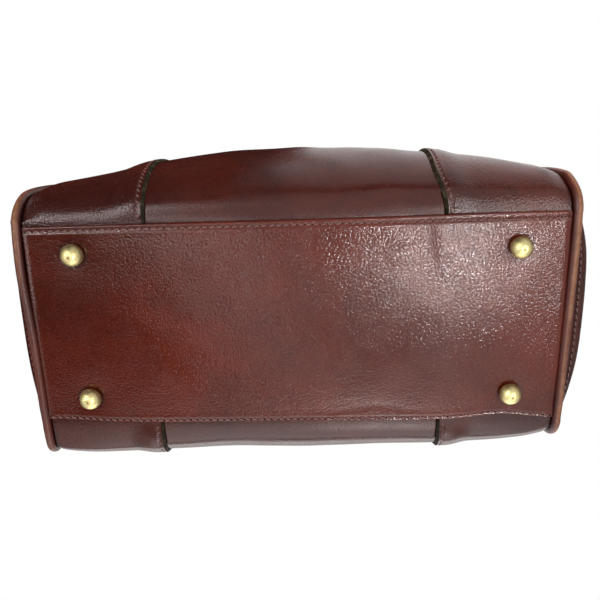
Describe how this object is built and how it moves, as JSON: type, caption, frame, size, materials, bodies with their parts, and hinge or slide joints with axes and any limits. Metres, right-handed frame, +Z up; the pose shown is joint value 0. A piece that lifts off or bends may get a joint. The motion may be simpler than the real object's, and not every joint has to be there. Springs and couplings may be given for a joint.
{
  "type": "handbag",
  "caption": "Structured zip-top leather handbag with lapped side panels, piped end gussets, twin rolled handles on brass rings and a flat base on domed brass feet.",
  "frame": {"origin": "on the floor under the middle of the base, at the bottom centre of the bounding box", "axes": "+Z up through the mouth, +X along the length towards the end where the zip slider is parked, -Y the front"},
  "size_m": [0.3756, 0.2056, 0.3467],
  "materials": {
    "oxblood_leather": "smooth, semi-gloss",
    "piping_leather": "worn, satin",
    "antique_brass": "antique, dulled",
    "lining_cloth": "woven twill",
    "zip_tape": "woven tape",
    "cotton_core": "twisted cotton",
    "fibre_board": "pressed fibre board"
  },
  "bodies": {
    "bag": {"back_centre_panel": "oxblood_leather", "back_left_chape": "oxblood_leather", "back_left_panel": "oxblood_leather", "back_right_chape": "oxblood_leather", "back_right_panel": "oxblood_leather", "base_board": "fibre_board", "base_panel": "oxblood_leather", "facing_back": "oxblood_leather", "facing_front": "oxblood_leather", "foot_back_left": "antique_brass", "foot_back_right": "antique_brass", "foot_front_left": "antique_brass", "foot_front_right": "antique_brass", "foot_washer_back_left": "antique_brass", "foot_washer_back_right": "antique_brass", "foot_washer_front_left": "antique_brass", "foot_washer_front_right": "antique_brass", "front_centre_panel": "oxblood_leather", "front_left_chape": "oxblood_leather", "front_left_panel": "oxblood_leather", "front_right_chape": "oxblood_leather", "front_right_panel": "oxblood_leather", "gusset_facing_left": "oxblood_leather", "gusset_facing_right": "oxblood_leather", "gusset_left": "oxblood_leather", "gusset_right": "oxblood_leather", "lining": "lining_cloth", "piping_left": "piping_leather", "piping_right": "piping_leather", "zip_end_left": "oxblood_leather", "zip_end_right": "oxblood_leather", "zip_end_tape_left": "zip_tape", "zip_end_tape_right": "zip_tape"},
    "front_rings": {"front_left_ring": "antique_brass", "front_right_ring": "antique_brass"},
    "back_rings": {"back_left_ring": "antique_brass", "back_right_ring": "antique_brass"},
    "front_handle": {"front_handle": "oxblood_leather", "front_handle_core": "cotton_core", "front_left_handle_loop": "oxblood_leather", "front_right_handle_loop": "oxblood_leather"},
    "back_handle": {"back_handle": "oxblood_leather", "back_handle_core": "cotton_core", "back_left_handle_loop": "oxblood_leather", "back_right_handle_loop": "oxblood_leather"},
    "zip_slider": {"zip_slider": "antique_brass"},
    "zip_pull": {"zip_pull": "antique_brass"},
    "front_flap": {"front_zip_flap": "oxblood_leather", "front_zip_tape": "zip_tape", "front_zip_teeth": "antique_brass"},
    "back_flap": {"back_zip_flap": "oxblood_leather", "back_zip_tape": "zip_tape", "back_zip_teeth": "antique_brass"}
  },
  "joints": [
    {"name": "front_rings_swing", "type": "hinge", "parent": "bag", "child": "front_rings", "pos_m": [0, -0.06212, 0.20767], "axis": [1, 0, 0], "range_deg": [-8, 125]},
    {"name": "front_handle_swing", "type": "hinge", "parent": "front_rings", "child": "front_handle", "pos_m": [0, -0.06212, 0.22367], "axis": [1, 0, 0], "range_deg": [-15, 15]},
    {"name": "front_flap_open", "type": "hinge", "parent": "bag", "child": "front_flap", "pos_m": [0, -0.04512, 0.218], "axis": [-1, 0, 0], "range_deg": [0, 85]},
    {"name": "back_rings_swing", "type": "hinge", "parent": "bag", "child": "back_rings", "pos_m": [0, 0.06067, 0.20755], "axis": [-1, 0, 0], "range_deg": [-8, 125]},
    {"name": "back_handle_swing", "type": "hinge", "parent": "back_rings", "child": "back_handle", "pos_m": [0, 0.06067, 0.22355], "axis": [-1, 0, 0], "range_deg": [-15, 15]},
    {"name": "back_flap_open", "type": "hinge", "parent": "bag", "child": "back_flap", "pos_m": [0, 0.04484, 0.218], "axis": [1, 0, 0], "range_deg": [0, 85]},
    {"name": "zip_slide", "type": "slide", "parent": "bag", "child": "zip_slider", "axis": [-1, 0, 0], "range_m": [0, 0.276]},
    {"name": "zip_pull_turn", "type": "hinge", "parent": "zip_slider", "child": "zip_pull", "pos_m": [0.14, 0, 0.22072], "axis": [0, 1, 0], "range_deg": [0, 175]}
  ]
}
